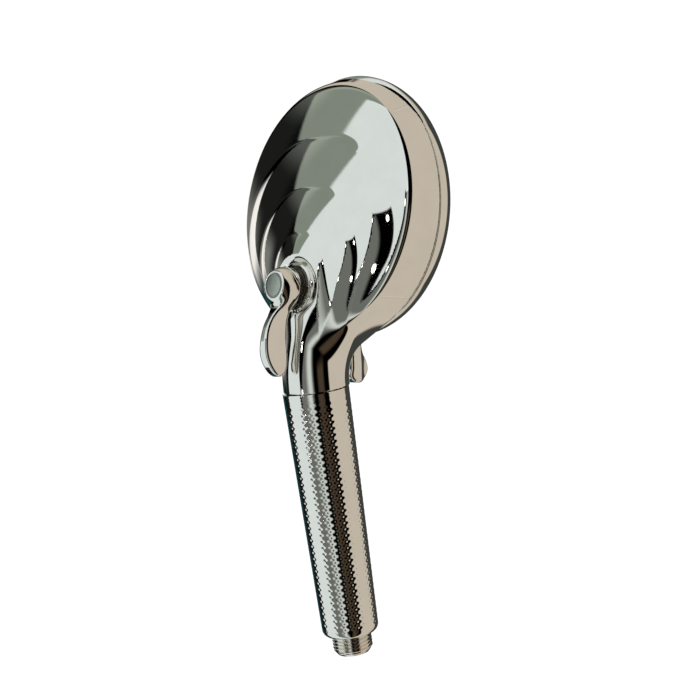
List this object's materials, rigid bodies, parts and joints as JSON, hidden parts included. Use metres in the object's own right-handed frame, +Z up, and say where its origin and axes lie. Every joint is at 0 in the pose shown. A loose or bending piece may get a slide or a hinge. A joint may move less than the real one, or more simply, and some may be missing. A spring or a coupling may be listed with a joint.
{
  "type": "handheld shower head",
  "caption": "Handheld shower head with a tapered knurled grip, a stepped round back, a turning spray face with a selector tab, and a pause lever on the back.",
  "frame": {"origin": "centre of the open end of the hose thread, where the hose washer seats", "axes": "+Z up along the grip's axis; the spray face looks towards -Y and a little down; the pause lever is on the +Y side; X is across, with the left and right halves alike"},
  "size_m": [0.1362, 0.0918, 0.2974],
  "materials": {
    "polished_nickel": "polished warm nickel plate",
    "nickel_plated_brass": "nickel plate on turned brass",
    "face_satin": "satin",
    "nozzle_silicone": "matte silicone",
    "white_plastic": "moulded",
    "valve_brass": "turned",
    "cartridge_plastic": "moulded",
    "ceramic": "lapped",
    "black_rubber": "matte",
    "steel": "bright stainless",
    "regulator_green": "moulded",
    "rotor_orange": "moulded"
  },
  "bodies": {
    "housing": {"rear_housing": "polished_nickel", "handle_sleeve": "polished_nickel", "waterway_tube": "white_plastic", "hose_nipple": "nickel_plated_brass", "nipple_seal": "black_rubber", "filter_gasket": "black_rubber", "filter_screen": "steel", "flow_regulator": "regulator_green", "regulator_oring": "black_rubber", "tube_seal": "black_rubber", "valve_block": "white_plastic", "cartridge_body": "cartridge_plastic", "fixed_disc": "ceramic", "base_seal": "black_rubber", "valve_collar": "polished_nickel", "outlet_seal": "black_rubber", "manifold": "white_plastic", "manifold_screws": "steel", "centre_screw": "steel", "centre_washer": "steel", "port_spring": "steel", "detent_spring": "steel"},
    "pause_valve": {"turning_disc": "ceramic", "valve_spindle": "valve_brass", "spindle_oring": "black_rubber", "pause_lever": "polished_nickel", "lever_screw": "steel", "lever_cap": "polished_nickel"},
    "spray_head": {"distributor": "white_plastic", "spigot_oring": "black_rubber", "nozzle_mat": "nozzle_silicone", "face_plate": "face_satin", "face_screws": "steel", "selector_ring": "polished_nickel", "selector_tab": "polished_nickel", "centre_cap": "polished_nickel"},
    "massage_rotor": {"massage_rotor": "rotor_orange"},
    "detent_ball": {"detent_ball": "steel"},
    "port_seal": {"port_seal": "black_rubber"}
  },
  "joints": [
    {"name": "pause_lever_turn", "type": "hinge", "parent": "housing", "child": "pause_valve", "pos_m": [0, 0.01751, 0.19776], "axis": [0, 0.9681, 0.2504], "range_deg": [0, 90]},
    {"name": "mode_select", "type": "hinge", "parent": "housing", "child": "spray_head", "pos_m": [0, -0.0395, 0.2303], "axis": [0, -0.9848, -0.1736], "range_deg": [-48, 48]},
    {"name": "rotor_spin", "type": "hinge", "parent": "spray_head", "child": "massage_rotor", "pos_m": [0, -0.04738, 0.22891], "axis": [0, -0.9848, -0.1736], "continuous": true},
    {"name": "detent_press", "type": "slide", "parent": "housing", "child": "detent_ball", "axis": [0, -0.9848, -0.1736], "range_m": [-0.0011, 0], "stiffness_N_per_m": 900, "springref_m": 0.0002, "deforming": ["detent_spring"]},
    {"name": "port_seal_press", "type": "slide", "parent": "housing", "child": "port_seal", "axis": [0, -0.9848, -0.1736], "range_m": [-0.0006, 0], "stiffness_N_per_m": 500, "springref_m": 0.0002, "deforming": ["port_spring"]}
  ]
}
